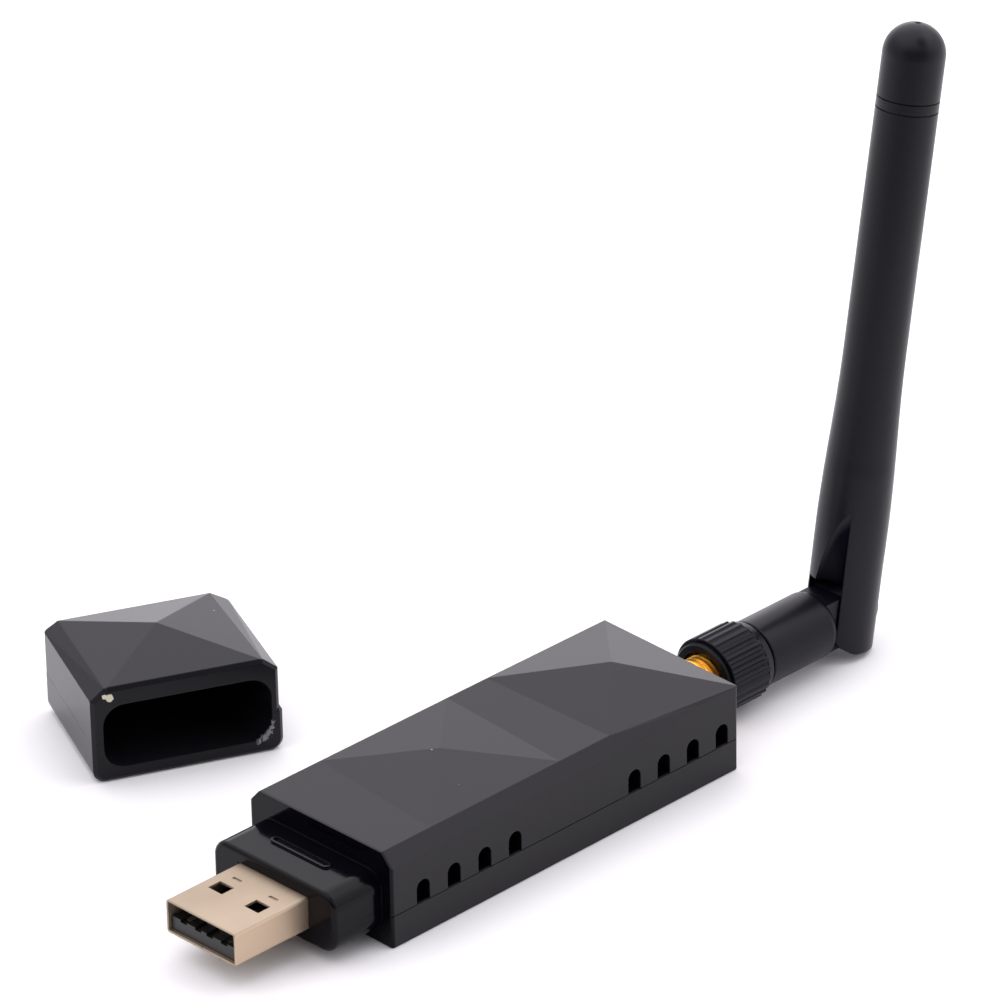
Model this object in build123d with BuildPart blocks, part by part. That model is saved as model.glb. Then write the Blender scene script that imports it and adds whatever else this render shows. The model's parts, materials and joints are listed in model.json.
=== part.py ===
from build123d import *
import os
from math import cos, radians, sin

# USB wireless network adapter: a faceted two-shell housing with a USB-A plug at one end and a
# screw-on tilting whip antenna at the other, and the loose pull-off cap of the plug beside it.
# Millimetres. +X runs from the plug to the antenna, +Z is up, and the origin is the centre of the
# housing's underside, which stands on the table at Z = 0.

os.makedirs("parts", exist_ok=True)

# ---------------------------------------------------------------- driving dimensions

housing_length = 59.6
housing_width = 24.5
side_height = 10.8  # top of the upright sides, where the long bevels start
roof_height = 12.7  # flat roof, at the top of the bevels
bevel_inset = 1.7
peak_height = 14.5  # tall roof peak, towards the antenna
low_peak_height = 13.4
parting_height = 4.5  # joint between the top and bottom covers
wall = 1.5
floor_thickness = 1.4
ceiling_height = 11.0
corner_radius = 0.4
antenna_axis = 5.48  # height of the jack, the connector and the hinge

neck_length = 7.8
neck_width = 21.0
neck_height = 8.2
neck_axis = 5.6
neck_parting = 4.85  # the covers' joint steps up along the neck
neck_corner = 2.3
neck_wall = 1.3

plug_width = 12.0
plug_height = 4.5
plug_axis = 5.75
plug_reach = 11.75  # length of the bare plug in front of the neck
plug_sheet = 0.3
plug_inside = 6.4  # length of the plug's shell behind the neck's front face

board_thickness = 1.2
board_top = 4.8
board_width = 20.4
board_neck_width = 17.6

vent_width = 2.2
vent_height = 3.0
vent_pitch = 5.15
vent_first = 4.1  # from the housing's front face to the first vent
vent_slots = (0, 1, 2, 3, 7, 8, 9, 10)  # pitches that carry a vent

thread_radius = 3.175  # 1/4-36 thread of the antenna jack
thread_pitch = 25.4 / 36
thread_reach = 11.2  # jack thread behind the housing's rear face

nut_start = 36.2
nut_length = 8.3
nut_radius = 5.2
nut_collar_radius = 4.7  # smooth collar ahead of the knurl
nut_collar_length = 0.7
nut_mouth_radius = 3.6
knurl_count = 26
knurl_length = 6.3

barrel_start = 44.85
barrel_radius = 4.5
hinge_x = 61.9
shoulder_gap = 4.95  # from the hinge axis to the barrel's shoulder
tongue_half = 2.6
slot_half = 2.8
stud_radius = 1.2
coax_radius = 0.75

whip_lean = 9.9  # degrees past upright, away from the housing
whip_root_radius = 4.6
whip_waist_radius = 4.63
whip_tube_radius = 4.0
whip_length = 78.4  # from the hinge axis to the tip
ear_end = 4.75  # from the hinge axis down to the end of the ears

cap_length = 20.6
cap_width = 24.4
cap_yaw = 64.9  # direction from the mouth to the closed end, from +X towards +Y
cap_mouth_x = -16.85
cap_mouth_y = 37.8
cap_parting = 5.5
cap_cavity_width = 21.9
cap_cavity_shift = -0.2  # the cavity sits a little to one side
cap_cavity_height = 8.8
cap_cavity_depth = 19.6

slip = 0.05  # radial clearance of a running fit

# ---------------------------------------------------------------- stations and planes

half_length = housing_length / 2
half_width = housing_width / 2
front_x = -half_length
rear_x = half_length
neck_x = front_x - neck_length
plug_x = neck_x - plug_reach
plug_back_x = neck_x + plug_inside
board_front_x = plug_back_x + 0.1
board_back_x = rear_x - wall - 1.3
thread_end_x = rear_x + thread_reach
shoulder_x = hinge_x - shoulder_gap
bevel_slope = bevel_inset / (roof_height - side_height)
roof_edge = half_width - bevel_inset


def across(x, z=antenna_axis):
    """A plane that faces +X at station x, with its own x along +Y and its own y along +Z."""
    return Plane(origin=(x, 0, z), x_dir=(0, 1, 0), z_dir=(1, 0, 0))


def along(y, z=antenna_axis):
    """A plane that faces -Y at y, with its own x along +X and its own y along +Z."""
    return Plane(origin=(0, y, z), x_dir=(1, 0, 0), z_dir=(0, -1, 0))


lean = radians(whip_lean)
whip_up = (sin(lean), 0, cos(lean))
whip_forward = (cos(lean), 0, -sin(lean))
hinge_point = (hinge_x, 0, antenna_axis)
whip_base = Plane(origin=hinge_point, x_dir=whip_forward, z_dir=whip_up)
whip_side = Plane(origin=hinge_point, x_dir=whip_forward, z_dir=(0, -1, 0))
cap_base = Plane(
    origin=(cap_mouth_x, cap_mouth_y, 0),
    x_dir=(cos(radians(cap_yaw)), sin(radians(cap_yaw)), 0),
    z_dir=(0, 0, 1),
)


def finish(builder, name):
    """Labels a finished piece and writes it as its own STEP file."""
    builder.part.label = name
    export_step(builder.part, f"parts/{name}.step")


# ---------------------------------------------------------------- housing: outside and inside

# The long block ends where the tall peak's front facet starts.
peak_foot_x = 8.8
left_foot_x = 9.4
valley_left = (1.9, roof_edge, roof_height)
valley_right = (0.3, -roof_edge, roof_height)
crease_left = (-19.6, roof_edge, roof_height)
crease_right = (-21.7, -roof_edge, roof_height)
low_peak = (-8.3, 1.4, low_peak_height)
tall_peak = (20.05, 0, peak_height)
rear_left_height = 12.5
rear_right_height = 11.8
bevel_end = (22.5, -half_width, 11.9)
rear_left_y = half_width - (rear_left_height - side_height) * bevel_slope

with BuildPart() as housing_outside:
    with BuildSketch(across(front_x, 0)):
        with BuildLine():
            Polyline(
                (-half_width, 0),
                (half_width, 0),
                (half_width, side_height),
                (roof_edge, roof_height),
                (-roof_edge, roof_height),
                (-half_width, side_height),
                close=True,
            )
        make_face()
    extrude(amount=peak_foot_x - front_x)
    ConvexPolyhedron([crease_left, crease_right, valley_right, valley_left, low_peak])
    ConvexPolyhedron(
        [
            (peak_foot_x, -half_width, 0),
            (peak_foot_x, half_width, 0),
            (peak_foot_x, half_width, side_height),
            (peak_foot_x, roof_edge, roof_height),
            (left_foot_x, roof_edge, roof_height),
            (peak_foot_x, -roof_edge, roof_height),
            (peak_foot_x, -half_width, side_height),
            bevel_end,
            tall_peak,
            (rear_x, -half_width, 0),
            (rear_x, half_width, 0),
            (rear_x, half_width, side_height),
            (rear_x, rear_left_y, rear_left_height),
            (rear_x, -half_width, rear_right_height),
        ]
    )
    with BuildSketch():
        RectangleRounded(housing_length, housing_width, corner_radius)
    extrude(amount=peak_height + 1, mode=Mode.INTERSECT)
    with BuildSketch(across(neck_x, neck_axis)):
        RectangleRounded(neck_width, neck_height, neck_corner)
    extrude(amount=neck_length + wall)
    fillet(housing_outside.faces().sort_by(Axis.X)[0].edges(), 0.6)

with BuildPart() as housing_inside:
    with BuildSketch(Plane.XY.offset(floor_thickness)):
        RectangleRounded(housing_length - 2 * wall, housing_width - 2 * wall, 0.5)
    extrude(amount=ceiling_height - floor_thickness)
    with BuildSketch(across(neck_x + neck_wall, neck_axis)):
        RectangleRounded(neck_width - 2 * neck_wall, neck_height - 2 * neck_wall, 1.0)
    extrude(amount=neck_length + wall)
    with BuildSketch(across(neck_x - 1, plug_axis)):
        Rectangle(plug_width + 0.1, plug_height + 0.1)
    extrude(amount=neck_wall + 2)
    with BuildSketch(across(rear_x - wall - 1)):
        Circle(thread_radius + slip)
    extrude(amount=wall + 2)

post_places = [(-21, -7.6), (-21, 7.6), (19.5, -7.6), (19.5, 7.6)]
post_radius = 1.6
peg_radius = 0.9
boss_radius = 1.9
latch_length = 10.0
latch_width = 1.4
latch_x = neck_x + 4.7

with BuildPart() as below_joint:
    with BuildSketch(along(half_width + 1, 0)):
        with BuildLine():
            Polyline(
                (neck_x - 1, -1),
                (rear_x + 1, -1),
                (rear_x + 1, parting_height),
                (front_x, parting_height),
                (front_x, neck_parting),
                (neck_x - 1, neck_parting),
                close=True,
            )
        make_face()
    extrude(amount=housing_width + 2)

with BuildPart() as top_cover:
    add(housing_outside.part)
    add(housing_inside.part, mode=Mode.SUBTRACT)
    add(below_joint.part, mode=Mode.SUBTRACT)
    with BuildSketch(Plane.XY.offset(board_top + 0.05)):
        with Locations(*post_places):
            Circle(boss_radius)
            Circle(peg_radius + slip, mode=Mode.SUBTRACT)
    extrude(amount=ceiling_height - board_top + 0.2)
    for start in (half_width + 0.5, wall - half_width + 0.5):
        with BuildSketch(along(start, parting_height)):
            for slot in vent_slots:
                middle = front_x + vent_first + slot * vent_pitch + vent_width / 2
                with Locations((middle, (vent_height - vent_width / 2) / 2)):
                    Rectangle(vent_width, vent_height - vent_width / 2)
                with Locations((middle, vent_height - vent_width / 2)):
                    Circle(vent_width / 2)
        extrude(amount=wall + 1, mode=Mode.SUBTRACT)
    # the raised ring on the neck that the cap clicks over
    with BuildSketch(Plane.XY.offset(neck_axis + neck_height / 2 - 0.1)):
        with Locations((latch_x, 0)):
            SlotOverall(latch_length, latch_width, rotation=90)
            SlotOverall(latch_length - 0.7, latch_width - 0.7, rotation=90, mode=Mode.SUBTRACT)
    extrude(amount=0.35)
finish(top_cover, "top_cover")

with BuildPart() as bottom_cover:
    add(housing_outside.part)
    add(housing_inside.part, mode=Mode.SUBTRACT)
    add(below_joint.part, mode=Mode.INTERSECT)
    with BuildSketch(Plane.XY.offset(floor_thickness - 0.2)):
        with Locations(*post_places):
            Circle(post_radius)
    extrude(amount=board_top - board_thickness - floor_thickness + 0.2)
    with BuildSketch(Plane.XY.offset(floor_thickness)):
        with Locations(*post_places):
            Circle(peg_radius)
    extrude(amount=board_top + 3 - floor_thickness)
    # a fine shadow groove runs round the joint with the top cover
    with BuildSketch(Plane.XY.offset(parting_height - 0.15)):
        RectangleRounded(housing_length + 2, housing_width + 2, corner_radius)
        RectangleRounded(housing_length - 0.3, housing_width - 0.3, corner_radius, mode=Mode.SUBTRACT)
        with Locations((neck_x + neck_length / 2, 0)):
            Rectangle(neck_length + 2, neck_width + 3, mode=Mode.SUBTRACT)
    extrude(amount=0.15, mode=Mode.SUBTRACT)
    fillet(bottom_cover.faces().sort_by(Axis.Z)[0].edges(), 0.25)
finish(bottom_cover, "bottom_cover")

# ---------------------------------------------------------------- USB-A plug

contact_places = (-3.5, -1.0, 1.0, 3.5)
contact_width = 1.0
shell_floor = plug_axis - plug_height / 2 + plug_sheet
tongue_top = shell_floor + 1.9
contact_bottom = tongue_top - 0.35
window_long = 2.0
window_wide = 2.4
window_x = plug_x + 5.3
window_y = 3.15

with BuildPart() as usb_shell:
    with BuildSketch(across(plug_x, plug_axis)):
        RectangleRounded(plug_width, plug_height, 0.45)
        RectangleRounded(
            plug_width - 2 * plug_sheet, plug_height - 2 * plug_sheet, 0.2, mode=Mode.SUBTRACT
        )
    extrude(amount=plug_reach + plug_inside)
    # spring windows, top and bottom
    with BuildSketch(Plane.XY):
        with Locations((window_x + window_long / 2, -window_y), (window_x + window_long / 2, window_y)):
            Rectangle(window_long, window_wide)
    extrude(amount=plug_axis + plug_height, mode=Mode.SUBTRACT)
    # a small pressed dent behind each window
    with BuildSketch(Plane.XY.offset(plug_axis + plug_height / 2 - 0.2)):
        with Locations((window_x + 3.6, -window_y), (window_x + 3.6, window_y)):
            SlotOverall(1.5, 0.45, rotation=90)
    extrude(amount=0.5, mode=Mode.SUBTRACT)
    # the seam of the folded sheet
    with BuildSketch(Plane.XY.offset(plug_axis - plug_height / 2 - 0.5)):
        with Locations(((plug_x + plug_back_x) / 2, 0)):
            Rectangle(plug_reach + plug_inside + 1, 0.08)
    extrude(amount=plug_sheet + 0.6, mode=Mode.SUBTRACT)
    # solder tabs that reach down over the sides of the board
    with BuildSketch(Plane.XY.offset(3.2)):
        with Locations((plug_back_x, -5.85), (plug_back_x, 5.85)):
            Rectangle(5.0, plug_sheet)
    extrude(amount=3.4)
    chamfer(usb_shell.edges().filter_by(GeomType.LINE).group_by(Axis.X)[0], 0.08)
finish(usb_shell, "usb_shell")

with BuildPart() as usb_tongue:
    with BuildSketch(across(plug_x + 0.5, (shell_floor + tongue_top) / 2)):
        RectangleRounded(plug_width - 2 * plug_sheet - 0.1, tongue_top - shell_floor - 0.02, 0.3)
    extrude(amount=plug_reach + plug_inside - 0.5)
    with BuildSketch(across(neck_x + 1, plug_axis)):
        RectangleRounded(
            plug_width - 2 * plug_sheet - 0.1, plug_height - 2 * plug_sheet - 0.1, 0.3
        )
    extrude(amount=plug_inside - 1)
    with BuildSketch(across(plug_x, contact_bottom + 0.3)):
        with Locations(*[(place, 0) for place in contact_places]):
            Rectangle(contact_width + 0.1, 0.6)
    extrude(amount=plug_reach + plug_inside + 1, mode=Mode.SUBTRACT)
finish(usb_tongue, "usb_tongue")

with BuildPart() as usb_contacts:
    for place in contact_places:
        tip_x = plug_x + (1.4 if abs(place) > 2 else 2.4)
        with BuildSketch(along(place + contact_width / 2, 0)):
            with BuildLine():
                Polyline(
                    (tip_x, contact_bottom),
                    (plug_back_x + 0.4, contact_bottom),
                    (plug_back_x + 0.4, board_top),
                    (plug_back_x + 2.3, board_top),
                    (plug_back_x + 2.3, board_top + 0.2),
                    (plug_back_x + 0.6, board_top + 0.2),
                    (plug_back_x + 0.6, contact_bottom + 0.2),
                    (tip_x, contact_bottom + 0.2),
                    close=True,
                )
            make_face()
        extrude(amount=contact_width)
finish(usb_contacts, "usb_contacts")

# ---------------------------------------------------------------- circuit board and its parts

with BuildPart() as circuit_board:
    with BuildSketch(Plane.XY.offset(board_top - board_thickness)):
        with Locations(((front_x + wall + 0.5 + board_back_x) / 2, 0)):
            Rectangle(board_back_x - front_x - wall - 0.5, board_width)
        with Locations(((board_front_x + front_x + wall + 1) / 2, 0)):
            Rectangle(front_x + wall + 1 - board_front_x, board_neck_width)
        with Locations((plug_back_x + 1.4, -5.85), (plug_back_x + 1.4, 5.85)):
            Rectangle(2.8, plug_sheet + 0.2, mode=Mode.SUBTRACT)
        with Locations(*post_places):
            Circle(peg_radius + slip, mode=Mode.SUBTRACT)
    extrude(amount=board_thickness)
finish(circuit_board, "circuit_board")


def chip(name, x, y, length, width, height, pin_one=0.0):
    """A moulded chip lying on the board, with an optional pin-one dimple."""
    with BuildPart() as body:
        with BuildSketch(Plane.XY.offset(board_top)):
            with Locations((x, y)):
                Rectangle(length, width)
        extrude(amount=height)
        chamfer(body.edges().group_by(Axis.Z)[-1], 0.1)
        if pin_one:
            with BuildSketch(Plane.XY.offset(board_top + height)):
                with Locations((x - length / 2 + 2 * pin_one, y + width / 2 - 2 * pin_one)):
                    Circle(pin_one)
            extrude(amount=-0.08, mode=Mode.SUBTRACT)
    finish(body, name)


chip("wifi_chip", -3.0, 0.0, 8.0, 8.0, 0.9, pin_one=0.4)
chip("memory_chip", -14.5, -3.6, 5.0, 4.0, 1.2, pin_one=0.3)
chip("crystal", -13.0, 4.6, 3.2, 2.5, 0.7)
chip("regulator", -23.5, 3.6, 3.0, 3.0, 1.1, pin_one=0.2)
chip("power_inductor", -24.0, -3.2, 3.2, 3.2, 1.5)
chip("amplifier_chip", 10.5, 0.0, 3.0, 3.0, 0.8, pin_one=0.2)
chip("status_led", 2.0, -8.6, 1.6, 0.9, 0.6)


def board_chips(name, places, length, width, height):
    """Identical small components on the board, as a group of separate solids."""
    with BuildPart() as group:
        with BuildSketch(Plane.XY.offset(board_top)):
            with Locations(*places):
                Rectangle(length, width)
        extrude(amount=height)
    finish(group, name)


capacitor_places = [(-18.5, 1.0), (-18.5, 3.2), (-9.0, 6.3), (-6.6, 6.3), (-4.2, 6.3), (2.8, 5.0)]
resistor_places = [(-9.5, -6.2), (-7.5, -6.2), (-5.5, -6.2), (-3.5, -6.2), (-0.5, -8.6)]
board_chips("capacitors", capacitor_places, 1.6, 0.8, 0.8)
board_chips("resistors", resistor_places, 1.0, 0.5, 0.35)

shield_x = 10.5
shield_length = 12.0
shield_width = 13.0
shield_height = 2.2

with BuildPart() as shield_can:
    with BuildSketch(Plane.XY.offset(board_top)):
        with Locations((shield_x, 0)):
            RectangleRounded(shield_length, shield_width, 0.6)
    extrude(amount=shield_height)
    with BuildSketch(Plane.XY.offset(board_top)):
        with Locations((shield_x, 0)):
            RectangleRounded(shield_length - 0.4, shield_width - 0.4, 0.4)
    extrude(amount=shield_height - 0.2, mode=Mode.SUBTRACT)
    with BuildSketch(Plane.XY.offset(board_top + shield_height - 0.5)):
        with Locations((shield_x, 0)):
            with GridLocations(3.0, 3.0, 3, 3):
                Circle(0.5)
    extrude(amount=1, mode=Mode.SUBTRACT)
finish(shield_can, "shield_can")

# ---------------------------------------------------------------- antenna jack

jack_bore = 2.3
insulator_end_x = thread_end_x - 4.5
pin_radius = 0.45
thread_depth = 0.38
thread_count = 14
connector_axis = Axis((0, 0, antenna_axis), (1, 0, 0))

with BuildPart() as antenna_jack:
    with BuildSketch(across(board_back_x)):
        Rectangle(6.4, 6.4)
    extrude(amount=rear_x - wall - 0.05 - board_back_x)
    with BuildSketch(across(rear_x - wall - 0.1)):
        Circle(thread_radius)
    extrude(amount=thread_end_x - rear_x + wall + 0.1)
    # rounded grooves of the thread
    with BuildSketch(Plane.XZ) as thread_grooves:
        for turn in range(thread_count):
            groove_x = thread_end_x - 0.6 - turn * thread_pitch
            with BuildLine():
                Polyline(
                    (groove_x - 0.3, antenna_axis + thread_radius + 0.1),
                    (groove_x - 0.05, antenna_axis + thread_radius - thread_depth),
                    (groove_x + 0.05, antenna_axis + thread_radius - thread_depth),
                    (groove_x + 0.3, antenna_axis + thread_radius + 0.1),
                    close=True,
                )
            make_face()
    revolve(axis=connector_axis, mode=Mode.SUBTRACT)
    with BuildSketch(across(insulator_end_x)):
        Circle(jack_bore)
    extrude(amount=thread_end_x - insulator_end_x + 1, mode=Mode.SUBTRACT)
    with BuildSketch(across(board_back_x - 1)):
        Circle(1.9)
    extrude(amount=insulator_end_x - board_back_x + 2, mode=Mode.SUBTRACT)
    # two prongs that grip the board's edge
    with BuildSketch(Plane.XY.offset(board_top)):
        with Locations((board_back_x - 1.4, -2.7), (board_back_x - 1.4, 2.7)):
            Rectangle(3.0, 1.0)
    extrude(amount=1.0)
    end_rings = antenna_jack.edges().filter_by(GeomType.CIRCLE).group_by(Axis.X)[-1]
    chamfer(end_rings.sort_by(SortBy.RADIUS)[-1], 0.3)
finish(antenna_jack, "antenna_jack")

with BuildPart() as jack_insulator:
    with BuildSketch(across(board_back_x)):
        Circle(1.88)
        Circle(pin_radius + 0.02, mode=Mode.SUBTRACT)
    extrude(amount=insulator_end_x - board_back_x)
finish(jack_insulator, "jack_insulator")

with BuildPart() as jack_pin:
    with BuildSketch(across(board_back_x - 2.2)):
        Circle(pin_radius)
    extrude(amount=thread_end_x - 1.5 - board_back_x + 2.2)
    chamfer(jack_pin.edges().group_by(Axis.X)[-1], 0.15)
finish(jack_pin, "jack_pin")

# ---------------------------------------------------------------- antenna connector

nut_end_x = nut_start + nut_length
insert_radius = 4.2
lip_end = nut_start + 1.0
insert_start = lip_end + 0.02
insert_end = nut_end_x - 0.4
insert_bore = thread_radius + 0.075
flange_x = thread_end_x + 0.15
flange_thickness = 0.9
flange_radius = 3.1
ferrule_neck = 2.5
ferrule_end = 49.0
socket_radius = 0.75
collar_end = nut_start + nut_collar_length
knurl_start = collar_end + 0.1


def ring_profile(points):
    """The half section of a ring about the connector's axis, given as (x, radius) pairs."""
    return Face(Wire.make_polygon([(x, 0, antenna_axis + radius) for x, radius in points]))


with BuildPart() as nut_sleeve:
    section = ring_profile(
        [
            (nut_start, nut_mouth_radius + 0.15),
            (nut_start, nut_collar_radius - 0.2),
            (nut_start + 0.2, nut_collar_radius),
            (collar_end, nut_collar_radius),
            (collar_end, nut_radius - 0.1),
            (knurl_start, nut_radius),
            (knurl_start + knurl_length, nut_radius),
            (knurl_start + knurl_length, nut_radius - 0.2),
            (nut_end_x - 0.15, nut_radius - 0.45),
            (nut_end_x, nut_radius - 0.6),
            (nut_end_x, insert_radius - 0.7),
            (insert_end + 0.02, insert_radius - 0.7),
            (insert_end + 0.02, insert_radius + 0.02),
            (lip_end, insert_radius + 0.02),
            (lip_end, nut_mouth_radius),
            (nut_start + 0.15, nut_mouth_radius),
        ]
    )
    revolve(section, axis=connector_axis)
    # knurl: rounded valleys between straight ridges
    with BuildSketch(across(knurl_start)):
        with PolarLocations(nut_radius + 0.12, knurl_count):
            Circle(0.42)
    extrude(amount=knurl_length, mode=Mode.SUBTRACT)
finish(nut_sleeve, "nut_sleeve")

with BuildPart() as nut_insert:
    section = ring_profile(
        [
            (insert_start, insert_bore + 0.3),
            (insert_start, insert_radius - 0.2),
            (insert_start + 0.2, insert_radius),
            (insert_end, insert_radius),
            (insert_end, ferrule_neck + 0.1),
            (flange_x + flange_thickness + 0.1, ferrule_neck + 0.1),
            (flange_x + flange_thickness + 0.1, insert_bore),
            (insert_start + 0.3, insert_bore),
        ]
    )
    revolve(section, axis=connector_axis)
finish(nut_insert, "nut_insert")

with BuildPart() as antenna_ferrule:
    section = ring_profile(
        [
            (insulator_end_x + 0.4, 1.9),
            (insulator_end_x + 0.4, jack_bore - slip),
            (flange_x, jack_bore - slip),
            (flange_x, flange_radius),
            (flange_x + flange_thickness, flange_radius),
            (flange_x + flange_thickness, ferrule_neck),
            (ferrule_end, ferrule_neck),
            (ferrule_end, 1.9),
        ]
    )
    revolve(section, axis=connector_axis)
finish(antenna_ferrule, "antenna_ferrule")

with BuildPart() as ferrule_insulator:
    with BuildSketch(across(insulator_end_x + 0.9)):
        Circle(1.88)
        Circle(socket_radius + 0.02, mode=Mode.SUBTRACT)
    extrude(amount=ferrule_end - insulator_end_x - 4.2)
finish(ferrule_insulator, "ferrule_insulator")

with BuildPart() as socket_contact:
    with BuildSketch(across(insulator_end_x + 0.9)):
        Circle(socket_radius)
    extrude(amount=ferrule_end - insulator_end_x - 4.0)
    with BuildSketch(across(insulator_end_x + 0.5)):
        Circle(pin_radius + slip)
    extrude(amount=4.0, mode=Mode.SUBTRACT)
finish(socket_contact, "socket_contact")

# ---------------------------------------------------------------- barrel with the hinge tongue

tongue_radius = 4.2
tongue_neck_half = 3.5
cable_half = 0.95

with BuildPart() as elbow_barrel:
    with BuildSketch(across(barrel_start)):
        Circle(barrel_radius)
    extrude(amount=shoulder_x - barrel_start)
    fillet(elbow_barrel.edges().group_by(Axis.X)[-1], 1.3)
    fillet(elbow_barrel.edges().group_by(Axis.X)[0], 0.25)
    with BuildSketch(along(tongue_half)):
        with Locations(((shoulder_x - 2 + hinge_x) / 2, 0)):
            Rectangle(hinge_x - shoulder_x + 2, 2 * tongue_neck_half)
        with Locations((hinge_x, 0)):
            Circle(tongue_radius)
    extrude(amount=2 * tongue_half)
    with BuildSketch(across(barrel_start - 1)):
        Circle(barrel_radius)
    extrude(amount=hinge_x + 10 - barrel_start, mode=Mode.INTERSECT)
    # bore for the connector, and the cable's channel to the hinge
    with BuildSketch(across(barrel_start - 1)):
        Circle(ferrule_neck + slip)
    extrude(amount=ferrule_end + 0.2 - barrel_start + 1, mode=Mode.SUBTRACT)
    with BuildSketch(across(ferrule_end)):
        Circle(cable_half)
    extrude(amount=hinge_x - ferrule_end, mode=Mode.SUBTRACT)
    # the slot that lets the cable follow the whip from upright to straight
    with BuildSketch(along(cable_half)):
        with Locations((hinge_x - cable_half, -cable_half)):
            Rectangle(8, 8, align=(Align.MIN, Align.MIN))
    extrude(amount=2 * cable_half, mode=Mode.SUBTRACT)
    # sockets for the hinge studs
    with BuildSketch(along(tongue_half + 1)):
        with Locations((hinge_x, 0)):
            Circle(stud_radius + slip)
    extrude(amount=2 * tongue_half + 2, mode=Mode.SUBTRACT)
finish(elbow_barrel, "elbow_barrel")

with BuildPart() as lower_coax:
    with BuildSketch(across(ferrule_end - 2.6)):
        Circle(coax_radius)
    extrude(amount=hinge_x - 0.6 - ferrule_end + 2.6)
finish(lower_coax, "lower_coax")

# ---------------------------------------------------------------- whip

whip_axis = Axis(hinge_point, whip_up)
tip_centre = whip_length - whip_tube_radius
waist_height = 14.0
tube_start = 35.0
bore_radius = 2.7
bore_start = 9.0
joint_height = 68.8
groove_height = 67.3
groove_width = 0.2
groove_depth = 0.2
foot_fillet = 0.45
slot_top = 4.8
ramp_foot = 3.5
ramp_top = 20.0
ramp_outside = 6.5

with BuildPart() as whip_sleeve:
    with BuildSketch(whip_side):
        with BuildLine():
            Line((0, -ear_end), (whip_root_radius - foot_fillet, -ear_end))
            RadiusArc(
                (whip_root_radius - foot_fillet, -ear_end),
                (whip_root_radius, foot_fillet - ear_end),
                -foot_fillet,
            )
            Line((whip_root_radius, foot_fillet - ear_end), (whip_root_radius, 4))
            Spline(
                (whip_root_radius, 4),
                (whip_waist_radius, waist_height),
                (4.26, 25.0),
                (whip_tube_radius, tube_start),
                tangents=((0, 1), (0, 1)),
            )
            Line((whip_tube_radius, tube_start), (whip_tube_radius, joint_height))
            Line((whip_tube_radius, joint_height), (0, joint_height))
            Line((0, joint_height), (0, -ear_end))
        make_face()
    revolve(axis=whip_axis)
    # round the ears' front corner about the hinge, so the whip can fold straight
    with BuildSketch(whip_side):
        with Locations((0, 0)):
            Rectangle(12, 12, align=(Align.MAX, Align.MAX))
            Circle(ear_end, mode=Mode.SUBTRACT)
    extrude(amount=whip_root_radius + 1, both=True, mode=Mode.SUBTRACT)
    # slot for the tongue
    with BuildSketch(whip_side):
        Circle(slot_top)
        Rectangle(12, 12, align=(Align.CENTER, Align.MAX))
        Rectangle(12, slot_top - 0.2, align=(Align.MAX, Align.MIN))
    extrude(amount=slot_half, both=True, mode=Mode.SUBTRACT)
    # a ramp runs out of the slot: deep at one wall, and level with the surface at the other
    with Locations(whip_base):
        ConvexPolyhedron(
            [
                (-ramp_outside, -slot_half, ramp_foot),
                (-0.6, -slot_half, ramp_foot),
                (-5.6, slot_half, ramp_foot),
                (-5.2, -slot_half, ramp_top),
            ],
            mode=Mode.SUBTRACT,
        )
    # cable hole and main bore
    with BuildSketch(whip_base):
        Circle(coax_radius + 0.15)
    extrude(amount=bore_start + 1, mode=Mode.SUBTRACT)
    with BuildSketch(whip_base.offset(bore_start)):
        Circle(bore_radius)
    extrude(amount=joint_height, mode=Mode.SUBTRACT)
    # groove below the tip cap
    with BuildSketch(whip_base.offset(groove_height)):
        Circle(whip_tube_radius + 1)
        Circle(whip_tube_radius - groove_depth, mode=Mode.SUBTRACT)
    extrude(amount=groove_width, mode=Mode.SUBTRACT)
    with BuildSketch(whip_base.offset(joint_height - groove_width / 2)):
        Circle(whip_tube_radius + 1)
        Circle(whip_tube_radius - groove_depth, mode=Mode.SUBTRACT)
    extrude(amount=groove_width, mode=Mode.SUBTRACT)
    # hinge studs inside the ears
    for side in (-1, 1):
        with BuildSketch(whip_side.offset(side * (cable_half + 0.05))):
            Circle(stud_radius)
        extrude(amount=side * (slot_half - cable_half))
finish(whip_sleeve, "whip_sleeve")

with BuildPart() as tip_cap:
    with BuildSketch(whip_side):
        with BuildLine():
            Line((0, joint_height), (whip_tube_radius - groove_depth, joint_height))
            Line(
                (whip_tube_radius - groove_depth, joint_height),
                (whip_tube_radius - groove_depth, joint_height + groove_width / 2),
            )
            Line(
                (whip_tube_radius - groove_depth, joint_height + groove_width / 2),
                (whip_tube_radius, joint_height + groove_width / 2),
            )
            Line((whip_tube_radius, joint_height + groove_width / 2), (whip_tube_radius, tip_centre))
            RadiusArc((whip_tube_radius, tip_centre), (0, whip_length), -whip_tube_radius)
            Line((0, whip_length), (0, joint_height))
        make_face()
    revolve(axis=whip_axis)
    with BuildSketch(whip_base.offset(joint_height - 4)):
        Circle(bore_radius - 0.03)
        Circle(bore_radius - 0.9, mode=Mode.SUBTRACT)
    extrude(amount=4.5)
    # moulding dimple on the very tip
    with Locations(whip_base.offset(whip_length + 0.25)):
        Sphere(0.5, mode=Mode.SUBTRACT)
finish(tip_cap, "tip_cap")

dipole_start = 13.0
dipole_end = 38.0

with BuildPart() as upper_coax:
    with BuildSketch(whip_base.offset(0.9)):
        Circle(coax_radius)
    extrude(amount=dipole_end - 0.9)
finish(upper_coax, "upper_coax")

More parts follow.
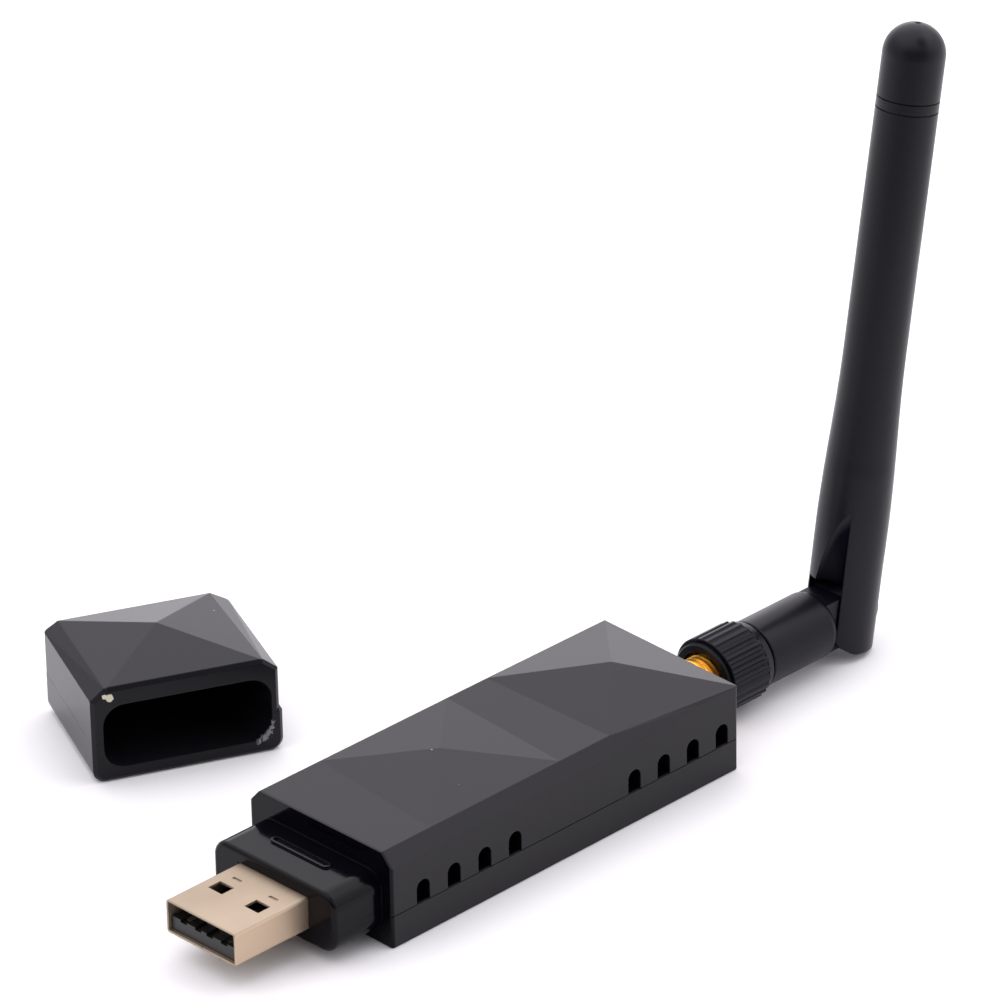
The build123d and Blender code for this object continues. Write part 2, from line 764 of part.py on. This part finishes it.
with BuildPart() as dipole_tube:
    with BuildSketch(whip_base.offset(dipole_start)):
        Circle(2.3)
    extrude(amount=dipole_end - dipole_start)
    with BuildSketch(whip_base.offset(dipole_start)):
        Circle(1.95)
    extrude(amount=dipole_end - dipole_start - 0.6, mode=Mode.SUBTRACT)
    with BuildSketch(whip_base.offset(dipole_start)):
        Circle(coax_radius + 0.01)
    extrude(amount=dipole_end - dipole_start + 1, mode=Mode.SUBTRACT)
finish(dipole_tube, "dipole_tube")

with BuildPart() as radiator_wire:
    with BuildSketch(whip_base.offset(dipole_end)):
        Circle(0.4)
    extrude(amount=joint_height - 6 - dipole_end)
finish(radiator_wire, "radiator_wire")

# ---------------------------------------------------------------- plug cap

cap_half = cap_width / 2
cap_roof_half = cap_half - 1.9
cap_lower_width = 24.8  # the lower shell stands a little proud of the upper one
cap_lower_shift = -0.2
cap_mouth_edge = 0.45
cap_foot_fillet = 1.6
cap_cavity_floor = 1.8
cap_cavity_corner = 2.85
cap_line = Axis(cap_base.origin, cap_base.x_dir)

with BuildPart(cap_base) as cap_upper_outside:
    ConvexPolyhedron(
        [
            (0, -cap_half, 0),
            (0, cap_half, 0),
            (0, -cap_half, 11.55),
            (0, cap_half, 11.55),
            (0, -cap_roof_half, 13.1),
            (0, cap_roof_half, 13.1),
            (cap_length, -cap_half, 0),
            (cap_length, cap_half, 0),
            (cap_length, -cap_half, 11.0),
            (cap_length, cap_half, 11.25),
            (cap_length, 0.5 - cap_roof_half, 12.4),
            (cap_length, cap_roof_half, 12.4),
            (12.4, -0.2, 14.2),
        ]
    )
    with BuildSketch(cap_base):
        RectangleRounded(2 * cap_length, cap_width, 0.5)
    extrude(amount=20, mode=Mode.INTERSECT)
    mouth_face = cap_upper_outside.faces().sort_by(cap_line)[0]
    chamfer(mouth_face.edges(), cap_mouth_edge)

with BuildPart(cap_base) as cap_lower_outside:
    with Locations((0, cap_lower_shift, 0)):
        Box(
            cap_length + 0.1,
            cap_lower_width,
            cap_parting,
            align=(Align.MIN, Align.CENTER, Align.MIN),
        )
    fillet(cap_lower_outside.edges().filter_by(Axis.Z).sort_by(cap_line)[-2:], 0.5)
    lengthwise = cap_lower_outside.edges().filter_by(cap_line)
    fillet(lengthwise.group_by(Axis.Z)[0], cap_foot_fillet)
    mouth_face = cap_lower_outside.faces().sort_by(cap_line)[0]
    chamfer(mouth_face.edges().sort_by(Axis.Z)[:-1], cap_mouth_edge)

cap_mouth = Plane(origin=cap_base.origin, x_dir=cap_base.y_dir, z_dir=cap_base.x_dir)
cavity_middle = cap_cavity_floor + cap_cavity_height / 2

with BuildPart() as cap_inside:
    with BuildSketch(cap_mouth.offset(-1)):
        with Locations((cap_cavity_shift, cavity_middle)):
            RectangleRounded(cap_cavity_width, cap_cavity_height, cap_cavity_corner)
    extrude(amount=cap_cavity_depth + 1)

with BuildPart() as cap_top_shell:
    add(cap_upper_outside.part)
    add(cap_inside.part, mode=Mode.SUBTRACT)
    split(bisect_by=Plane.XY.offset(cap_parting), keep=Keep.TOP)
finish(cap_top_shell, "cap_top_shell")

with BuildPart() as cap_bottom_shell:
    add(cap_lower_outside.part)
    add(cap_inside.part, mode=Mode.SUBTRACT)
finish(cap_bottom_shell, "cap_bottom_shell")
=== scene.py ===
import json
import math

import bpy
from mathutils import Matrix, Vector


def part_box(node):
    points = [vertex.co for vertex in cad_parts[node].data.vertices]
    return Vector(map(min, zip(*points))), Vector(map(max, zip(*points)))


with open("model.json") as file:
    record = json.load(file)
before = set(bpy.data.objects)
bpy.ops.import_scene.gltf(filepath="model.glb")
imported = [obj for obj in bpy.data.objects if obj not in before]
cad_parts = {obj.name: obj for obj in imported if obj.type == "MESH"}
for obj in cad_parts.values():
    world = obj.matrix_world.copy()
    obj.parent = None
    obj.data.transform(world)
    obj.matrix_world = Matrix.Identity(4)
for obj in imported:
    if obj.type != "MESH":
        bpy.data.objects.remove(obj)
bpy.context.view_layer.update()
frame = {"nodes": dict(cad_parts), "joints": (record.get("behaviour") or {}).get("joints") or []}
nodes = frame["nodes"]
scene = bpy.context.scene

MM = 0.001

# ---------------------------------------------------------------- places on the object

NECK_LENGTH = 7.8 * MM
COVER_LOW, COVER_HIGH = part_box("top_cover")

# The block's front face, behind the neck.
HOUSING_FRONT = COVER_LOW.x + NECK_LENGTH

# The space between the vented walls, up to just above the vents.
VENT_WALL_SKIN = 0.12 * MM
VENT_ROOM_INSET = 0.3 * MM
VENT_ROOM_TOP = 7.5 * MM
VENT_ROOM_LOW = Vector((HOUSING_FRONT, COVER_LOW.y + VENT_WALL_SKIN, VENT_ROOM_INSET))
VENT_ROOM_HIGH = Vector(
    (COVER_HIGH.x - VENT_ROOM_INSET, COVER_HIGH.y - VENT_WALL_SKIN, VENT_ROOM_TOP)
)

# The whip stands upright at the tilt's lower limit, so at rest it leans by that angle.
TILT = next(joint for joint in frame["joints"] if joint["name"] == "antenna_tilt")
HINGE = Vector(TILT["pos_m"])
WHIP_LEAN = -math.radians(TILT["range_deg"][0])

# The cap lies turned beside the housing. CAP_WAY runs from its mouth to its closed end.
CAP_LENGTH = 20.6 * MM
CAP_YAW = math.radians(64.9)
CAP_WAY = Vector((math.cos(CAP_YAW), math.sin(CAP_YAW), 0))
CAP_MIDDLE = sum(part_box("cap_top_shell"), Vector()) / 2


def mouth_point(left, height):
    """A point on the cap's mouth: mm to the left of its middle, looking in, and mm of height."""
    foot = (CAP_MIDDLE - CAP_WAY * CAP_LENGTH / 2) * Vector((1, 1, 0))
    across = Vector((-CAP_WAY.y, CAP_WAY.x, 0))
    return foot + (left * across + Vector((0, 0, height))) * MM


# ---------------------------------------------------------------- camera

CAMERA_AZIMUTH = math.radians(-44.33)
CAMERA_ELEVATION = math.radians(27.52)
CAMERA_ROLL = math.radians(-1.115)
CAMERA_DISTANCE = 0.860
CAMERA_LENS = 252.08
CAMERA_SENSOR = 36
CAMERA_AIM = Vector((0.01411, 0.01304, 0.03461))


def make_camera():
    back = Vector(
        (
            math.sin(CAMERA_AZIMUTH) * math.cos(CAMERA_ELEVATION),
            -math.cos(CAMERA_AZIMUTH) * math.cos(CAMERA_ELEVATION),
            math.sin(CAMERA_ELEVATION),
        )
    )
    level = Vector((math.cos(CAMERA_AZIMUTH), math.sin(CAMERA_AZIMUTH), 0))
    upright = back.cross(level)
    right = math.cos(CAMERA_ROLL) * level + math.sin(CAMERA_ROLL) * upright
    up = math.cos(CAMERA_ROLL) * upright - math.sin(CAMERA_ROLL) * level
    turn = Matrix((right, up, back)).transposed().to_4x4()

    data = bpy.data.cameras.new("camera")
    data.lens = CAMERA_LENS
    data.sensor_width = CAMERA_SENSOR
    data.clip_start = 0.01
    data.clip_end = 20
    camera = bpy.data.objects.new("camera", data)
    scene.collection.objects.link(camera)
    camera.matrix_world = Matrix.Translation(CAMERA_AIM + back * CAMERA_DISTANCE) @ turn
    scene.camera = camera


# ---------------------------------------------------------------- short calls for shader nodes

MIX_FIRST, MIX_SECOND, MIX_RESULT = 6, 7, 2  # the colour sockets of a Mix node
VALUE_OPERATIONS = ("DOT_PRODUCT", "DISTANCE", "LENGTH")


class Nodes:
    """A node tree with short calls for its nodes. A value is a socket, a number or a vector."""

    def __init__(self, tree, coordinate):
        self.tree = tree
        self.place = self.node("ShaderNodeTexCoord").outputs[coordinate]

    def node(self, kind, **settings):
        made = self.tree.nodes.new(kind)
        for name, value in settings.items():
            setattr(made, name, value)
        return made

    def feed(self, value, target):
        if isinstance(value, bpy.types.NodeSocket):
            self.tree.links.new(value, target)
        else:
            target.default_value = value

    def number(self, operation, first, second):
        made = self.node("ShaderNodeMath", operation=operation)
        self.feed(first, made.inputs[0])
        self.feed(second, made.inputs[1])
        return made.outputs[0]

    def times(self, first, second):
        return self.number("MULTIPLY", first, second)

    def vector(self, operation, first, second=(0, 0, 0)):
        made = self.node("ShaderNodeVectorMath", operation=operation)
        self.feed(first, made.inputs[0])
        self.feed(second, made.inputs[1])
        return made.outputs["Value" if operation in VALUE_OPERATIONS else "Vector"]

    def split(self, vector):
        made = self.node("ShaderNodeSeparateXYZ")
        self.feed(vector, made.inputs[0])
        return made.outputs

    def spread(self, value, low, high, new_low, new_high, **settings):
        made = self.node("ShaderNodeMapRange", **settings)
        self.feed(value, made.inputs["Value"])
        self.feed(low, made.inputs["From Min"])
        self.feed(high, made.inputs["From Max"])
        self.feed(new_low, made.inputs["To Min"])
        self.feed(new_high, made.inputs["To Max"])
        return made.outputs["Result"]

    def mix(self, factor, first, second):
        """A mix of two colours, each a socket or three numbers."""
        made = self.node("ShaderNodeMix", data_type="RGBA")
        self.feed(factor, made.inputs["Factor"])
        for colour, target in ((first, MIX_FIRST), (second, MIX_SECOND)):
            is_socket = isinstance(colour, bpy.types.NodeSocket)
            self.feed(colour if is_socket else (*colour, 1), made.inputs[target])
        return made.outputs[MIX_RESULT]

    def noise(self, scale, detail, stretch=(1, 1, 1)):
        mapping = self.node("ShaderNodeMapping")
        self.feed(self.place, mapping.inputs["Vector"])
        self.feed(stretch, mapping.inputs["Scale"])
        texture = self.node("ShaderNodeTexNoise")
        self.feed(mapping.outputs[0], texture.inputs["Vector"])
        self.feed(scale, texture.inputs["Scale"])
        self.feed(detail, texture.inputs["Detail"])
        self.feed(0.5, texture.inputs["Roughness"])
        return texture.outputs["Fac"]

    def drift(self, scale, detail, low, high, contrast=0.15):
        """Noise from low to high, stretched so that it gets there this far from its middle."""
        wander = self.noise(scale, detail)
        return self.spread(wander, 0.5 - contrast, 0.5 + contrast, low, high)


class Material(Nodes):
    """A Principled material whose textures lie in the object's own coordinates."""

    def __init__(self, name):
        self.data = bpy.data.materials.new(name)
        self.data.use_nodes = True
        super().__init__(self.data.node_tree, "Object")
        self.shader = self.tree.nodes["Principled BSDF"]

    def set(self, name, value):
        self.feed(value, self.shader.inputs[name])

    def cover(self, mask, colour, roughness):
        """Lays a colour and a roughness over what the shader already has, where the mask is 1."""
        for name, over in (("Base Color", colour), ("Roughness", (roughness,) * 3)):
            under = self.shader.inputs[name].links[0].from_socket
            self.set(name, self.mix(mask, under, over))

    def bump(self, height, distance, edge_radius):
        """Raises the surface by a height, over edges that look rounded by a radius."""
        made = self.node("ShaderNodeBump")
        self.feed(1.0, made.inputs["Strength"])
        self.feed(distance, made.inputs["Distance"])
        self.feed(height, made.inputs["Height"])
        if edge_radius:
            bevel = self.node("ShaderNodeBevel", samples=4)
            self.feed(edge_radius, bevel.inputs["Radius"])
            self.feed(bevel.outputs[0], made.inputs["Normal"])
        self.set("Normal", made.outputs[0])


# ---------------------------------------------------------------- stage and light

FLOOR_HALF = 1.5
FLOOR_COLOUR = (0.84, 0.84, 0.84)
FLOOR_FAR_COLOUR = (0.4, 0.4, 0.4)
FLOOR_FAR_SIDE = Vector((-0.70, -0.71, 0))
FLOOR_SHADE_START = 0.12
FLOOR_SHADE_FULL = 0.3

SURROUND_LEVEL = 0.9
SURROUND_COLOUR = (1.0, 0.97, 1.02, 1)
# Each glow adds light round its direction: (direction, cosine at its edge, cosine where it is
# full, added level). The negative ones are a gap between two lights and the dim side of the room.
GLOWS = {
    "overhead": ((0, 0, 1), 0.35, 0.85, 1.2),
    "right_window": ((0.62, -0.53, 0.58), 0.7, 0.95, 0.6),
    "back_wall": ((0.67, 0.69, 0.28), 0.6, 0.92, 0.6),
    "horizon": ((0.69, 0.71, 0.12), 0.93, 0.985, 0.75),
    "gap": ((0.07, -0.54, 0.83), 0.93, 0.985, -1.6),
    "dim_side": ((-0.62, -0.65, 0.4), 0.55, 0.9, -0.6),
}


def make_floor():
    mesh = bpy.data.meshes.new("floor")
    corners = [(-1, -1, 0), (1, -1, 0), (1, 1, 0), (-1, 1, 0)]
    mesh.from_pydata([FLOOR_HALF * Vector(corner) for corner in corners], [], [(0, 1, 2, 3)])
    mesh.materials.append(make_floor_paper().data)
    floor = bpy.data.objects.new("floor", mesh)
    scene.collection.objects.link(floor)


def make_floor_paper():
    """White paper that falls into shade well in front of the objects."""
    paper = Material("floor_paper")
    reach = paper.vector("DOT_PRODUCT", paper.place, FLOOR_FAR_SIDE)
    shade = paper.spread(
        reach, FLOOR_SHADE_START, FLOOR_SHADE_FULL, 0, 1, interpolation_type="SMOOTHSTEP"
    )
    paper.set("Base Color", paper.mix(shade, FLOOR_COLOUR, FLOOR_FAR_COLOUR))
    paper.set("Roughness", 0.9)
    paper.set("Specular IOR Level", 0.1)
    return paper


def make_surround():
    """A pale room that is brightest overhead and dim on the camera's side."""
    world = bpy.data.worlds.new("studio")
    world.use_nodes = True
    room = Nodes(world.node_tree, "Generated")
    total = SURROUND_LEVEL
    for aim, edge, full, added in GLOWS.values():
        facing = room.vector("DOT_PRODUCT", room.place, Vector(aim).normalized())
        glow = room.spread(facing, edge, full, 0, added, interpolation_type="SMOOTHSTEP")
        total = room.number("ADD", total, glow)
    background = room.tree.nodes["Background"]
    room.feed(total, background.inputs["Strength"])
    room.feed(SURROUND_COLOUR, background.inputs["Color"])
    scene.world = world
    scene.view_settings.view_transform = "Standard"


# ---------------------------------------------------------------- kinds of surface

PLASTIC_GLOSS_SCALE = 60
PLASTIC_COLOUR_SCALE = 25
PLASTIC_GRAIN_SCALE = 2200
PLASTIC_GRAIN_DEPTH = 0.003 * MM

METAL_SMUDGE_SCALE = 90
METAL_TARNISH_SCALE = 40
METAL_TARNISH = 0.88
METAL_LINE_SCALE = 1500
METAL_LINE_DEPTH = 0.002 * MM


def plastic(name, colour, roughness, edge=0.0, ior=1.5):
    """Moulded plastic: fine mould grain, hazy patches of gloss and a faint colour drift."""
    made = Material(name)
    made.set("IOR", ior)
    hazy = made.drift(PLASTIC_GLOSS_SCALE, 4, roughness - 0.04, roughness + 0.06)
    made.set("Roughness", hazy)
    lighter = tuple(min(1, 1.3 * value + 0.0008) for value in colour)
    lightness = made.drift(PLASTIC_COLOUR_SCALE, 2, 0, 1, contrast=0.2)
    made.set("Base Color", made.mix(lightness, colour, lighter))
    made.bump(made.noise(PLASTIC_GRAIN_SCALE, 2), PLASTIC_GRAIN_DEPTH, edge)
    return made


def metal(name, colour, roughness, edge=0.0, stretch=(1, 1, 1)):
    """Plated sheet or turned metal: faint rolling lines, smudges and a little tarnish."""
    made = Material(name)
    made.set("Metallic", 1.0)
    smudged = made.drift(METAL_SMUDGE_SCALE, 4, roughness - 0.05, roughness + 0.08)
    made.set("Roughness", smudged)
    tarnish = made.drift(METAL_TARNISH_SCALE, 3, 0, 1)
    darker = tuple(METAL_TARNISH * value for value in colour)
    made.set("Base Color", made.mix(tarnish, colour, darker))
    made.bump(made.noise(METAL_LINE_SCALE, 2, stretch), METAL_LINE_DEPTH, edge)
    return made


# ---------------------------------------------------------------- details of a surface

BOX_BLEND = 0.02 * MM

# The satin texture begins and is full at these distances behind the block's front face.
SATIN_START = 0.2 * MM
SATIN_FULL = 0.5 * MM
SATIN_ROUGHNESS = 0.2

# Painted light on the plug's shell: it is painted brighter outside a box that leaves out this skin
# of its narrow sides and stands out past its other faces by this margin.
SIDE_LIGHT_SKIN = 0.06 * MM
SIDE_LIGHT_MARGIN = 1 * MM
SIDE_LIGHT_ROUGHNESS = 0.5

DUST = (0.45, 0.44, 0.42)
DUST_ROUGHNESS = 0.7
DUST_CELL_SCALE = 420
DUST_CHOICE_SCALE = 300
# A speck's radius as a share of its cell, and the radius at which it has faded out.
DUST_SPECK = 0.03
DUST_SPECK_FADE = 0.07

MARK_ROUGHNESS = 0.6

# The shade over the hinge is full up to the first of each pair and gone at the second.
SHADE_RADII = (4.2 * MM, 4.5 * MM)
SHADE_WIDTHS = (-1.6 * MM, 2.6 * MM)
SHADE_HEIGHTS = (19 * MM, 22 * MM)
SHADE_DEPTH = 0.95


def outside_box(made, low, high):
    """A mask that is 0 inside the box between two corners and 1 outside it."""
    offset = made.vector("SUBTRACT", made.place, (low + high) / 2)
    beyond = made.split(made.vector("ABSOLUTE", offset))
    inside = 1
    for axis, reach in zip("XYZ", (high - low) / 2):
        inside = made.times(inside, made.spread(beyond[axis], reach - BOX_BLEND, reach, 1, 0))
    return made.number("SUBTRACT", 1, inside)


def add_fine_texture(made):
    """The block behind the polished neck has a fine satin texture, on its outside only."""
    along = made.split(made.place)["X"]
    start, full = HOUSING_FRONT + SATIN_START, HOUSING_FRONT + SATIN_FULL
    behind_face = made.spread(along, start, full, 0, 1)
    outside = outside_box(made, VENT_ROOM_LOW, VENT_ROOM_HIGH)
    made.cover(made.times(behind_face, outside), SATIN_BLACK, SATIN_ROUGHNESS)


def add_painted_side_light(made):
    """Painted light: the plug's folded shell's narrow sides are painted a little brighter than its
    broad faces.
    """
    low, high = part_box("usb_shell")
    inset = Vector((-SIDE_LIGHT_MARGIN, SIDE_LIGHT_SKIN, -SIDE_LIGHT_MARGIN))
    made.cover(outside_box(made, low + inset, high - inset), SIDE_LIGHT_NICKEL, SIDE_LIGHT_ROUGHNESS)


def add_dust(made, density):
    """Sparse pale specks, each a fraction of a millimetre across."""
    cells = made.node("ShaderNodeTexVoronoi")
    made.feed(made.place, cells.inputs["Vector"])
    made.feed(DUST_CELL_SCALE, cells.inputs["Scale"])
    speck = made.spread(cells.outputs["Distance"], DUST_SPECK, DUST_SPECK_FADE, 1, 0)
    choice = made.noise(DUST_CHOICE_SCALE, 1)
    chosen = made.spread(choice, 1 - density - 0.01, 1 - density, 0, 1)
    made.cover(made.times(speck, chosen), DUST, DUST_ROUGHNESS)


def add_mark(made, centre, radius, colour, raggedness, grain_scale):
    """One scuff or nick of the given radius, with a ragged outline."""
    smallest = radius * (1 - raggedness)
    largest = radius * (1 + raggedness)
    reach = made.drift(grain_scale, 3, smallest, largest, contrast=0.25)
    distance = made.vector("DISTANCE", made.place, centre)
    made.cover(made.number("LESS_THAN", distance, reach), colour, MARK_ROUGHNESS)


def shade_hollow(made):
    """Painted shade in the hollow above the whip's hinge, darkest beside the near ear.

    It fades across the whip. The shade is painted by making the surface partly a metal in the
    plastic's own near-black, which reflects far less than the plastic.
    """
    upright = made.node("ShaderNodeVectorRotate", rotation_type="Y_AXIS", invert=True)
    made.feed(made.vector("SUBTRACT", made.place, HINGE), upright.inputs["Vector"])
    made.feed(WHIP_LEAN, upright.inputs["Angle"])
    radius = made.vector("LENGTH", made.vector("MULTIPLY", upright.outputs[0], (1, 1, 0)))
    along = made.split(upright.outputs[0])
    inside = made.spread(radius, *SHADE_RADII, 1, 0)
    beside_ear = made.spread(along["Y"], *SHADE_WIDTHS, SHADE_DEPTH, 0)
    low = made.spread(along["Z"], *SHADE_HEIGHTS, 1, 0)
    made.set("Metallic", made.times(made.times(inside, beside_ear), low))


# ---------------------------------------------------------------- painting the pieces

BLACK = (0.0012, 0.001, 0.0024)
SATIN_BLACK = (0.019, 0.0183, 0.0204)
CAP_BLACK = (0.0058, 0.0054, 0.0072)
ANTENNA_BLACK = (0.0013, 0.0012, 0.0036)
CABLE_BLACK = (0.02, 0.02, 0.02)
TONGUE_BLACK = (0.006, 0.006, 0.006)
BOARD_BLACK = (0.004, 0.004, 0.004)
CHIP_BLACK = (0.02, 0.02, 0.022)
GOLD = (1.0, 0.58, 0.1)
COPPER = (0.85, 0.45, 0.3)
NICKEL = (0.44, 0.36, 0.272)
# The colour of the painted light on the plug's narrow sides.
SIDE_LIGHT_NICKEL = (0.58, 0.45, 0.33)
DULL_TIN = (0.3, 0.29, 0.27)
BRIGHT_TIN = (0.7, 0.69, 0.66)
CERAMIC_TAN = (0.4, 0.28, 0.16)
LED_WHITE = (0.8, 0.8, 0.75)
INSULATOR_WHITE = (0.8, 0.79, 0.75)
NICK_CREAM = (0.62, 0.6, 0.45)
SCUFF_GREY = (0.2, 0.2, 0.21)

# Marks of wear on the cap's mouth: (mm to the left of its middle, mm of height, radius in mm).
CAP_SCUFFS = (
    (-11.14, 4.12, 0.26),
    (-11.02, 3.4, 0.34),
    (-10.61, 2.75, 0.42),
    (-10.06, 2.15, 0.44),
    (-9.35, 1.7, 0.3),
)
CAP_NICKS = ((9.74, 11.8, 0.5), (10.38, 12.1, 0.32))


def paint(made, *names):
    for name in names:
        for slot in nodes[name].material_slots:
            slot.material = made.data


def paint_shell():
    shell = plastic("black_shell", BLACK, roughness=0.1, edge=0.12 * MM, ior=1.23)
    add_fine_texture(shell)
    add_dust(shell, density=0.3)
    paint(shell, "top_cover", "bottom_cover")


def paint_cap():
    cap = plastic("black_cap", CAP_BLACK, roughness=0.13, edge=0.2 * MM, ior=1.25)
    add_dust(cap, density=0.3)
    for left, height, radius in CAP_SCUFFS:
        centre = mouth_point(left, height)
        add_mark(cap, centre, radius * MM, SCUFF_GREY, raggedness=0.9, grain_scale=5500)
    for left, height, radius in CAP_NICKS:
        centre = mouth_point(left, height)
        add_mark(cap, centre, radius * MM, NICK_CREAM, raggedness=0.25, grain_scale=2500)
    paint(cap, "cap_top_shell", "cap_bottom_shell")


def paint_whip():
    whip = plastic("antenna_black", ANTENNA_BLACK, roughness=0.32, edge=0.15 * MM, ior=1.32)
    # Painted shade in the hollow above the hinge, beside the near ear.
    shade_hollow(whip)
    add_dust(whip, density=0.2)
    paint(whip, "whip_sleeve", "tip_cap")


def paint_barrel():
    barrel = plastic("barrel_black", ANTENNA_BLACK, roughness=0.3, edge=0.15 * MM, ior=1.27)
    add_dust(barrel, density=0.2)
    paint(barrel, "elbow_barrel")


def paint_nut():
    nut = plastic("nut_black", ANTENNA_BLACK, roughness=0.33, edge=0.05 * MM, ior=1.27)
    add_dust(nut, density=0.25)
    paint(nut, "nut_sleeve")


def paint_antenna_inside():
    paint(plastic("cable_black", CABLE_BLACK, roughness=0.5), "lower_coax", "upper_coax")
    paint(metal("copper", COPPER, roughness=0.3), "dipole_tube", "radiator_wire")


def paint_plug():
    nickel = metal("plug_nickel", NICKEL, roughness=0.6, edge=0.08 * MM, stretch=(0.1, 1, 1))
    # Painted light: the plug's narrow sides are painted brighter than its broad faces.
    add_painted_side_light(nickel)
    paint(nickel, "usb_shell")
    paint(plastic("tongue_black", TONGUE_BLACK, roughness=0.4), "usb_tongue")
    paint(metal("contact_tin", DULL_TIN, roughness=0.4), "usb_contacts")


def paint_gold():
    gold = metal("gold", GOLD, roughness=0.25)
    paint(gold, "antenna_jack", "jack_pin", "antenna_ferrule", "socket_contact", "nut_insert")


def paint_board():
    paint(plastic("board_black", BOARD_BLACK, roughness=0.4), "circuit_board")
    chips = plastic("chip_black", CHIP_BLACK, roughness=0.5)
    paint(chips, "wifi_chip", "memory_chip", "regulator", "power_inductor", "amplifier_chip")
    paint(chips, "resistors")
    paint(metal("tin", BRIGHT_TIN, roughness=0.35), "shield_can", "crystal")
    paint(plastic("ceramic_tan", CERAMIC_TAN, roughness=0.5), "capacitors")
    paint(plastic("led_white", LED_WHITE, roughness=0.3), "status_led")


def paint_insulators():
    white = plastic("insulator_white", INSULATOR_WHITE, roughness=0.5)
    paint(white, "jack_insulator", "ferrule_insulator")


make_camera()
make_floor()
make_surround()
paint_shell()
paint_cap()
paint_whip()
paint_barrel()
paint_nut()
paint_antenna_inside()
paint_plug()
paint_gold()
paint_board()
paint_insulators()
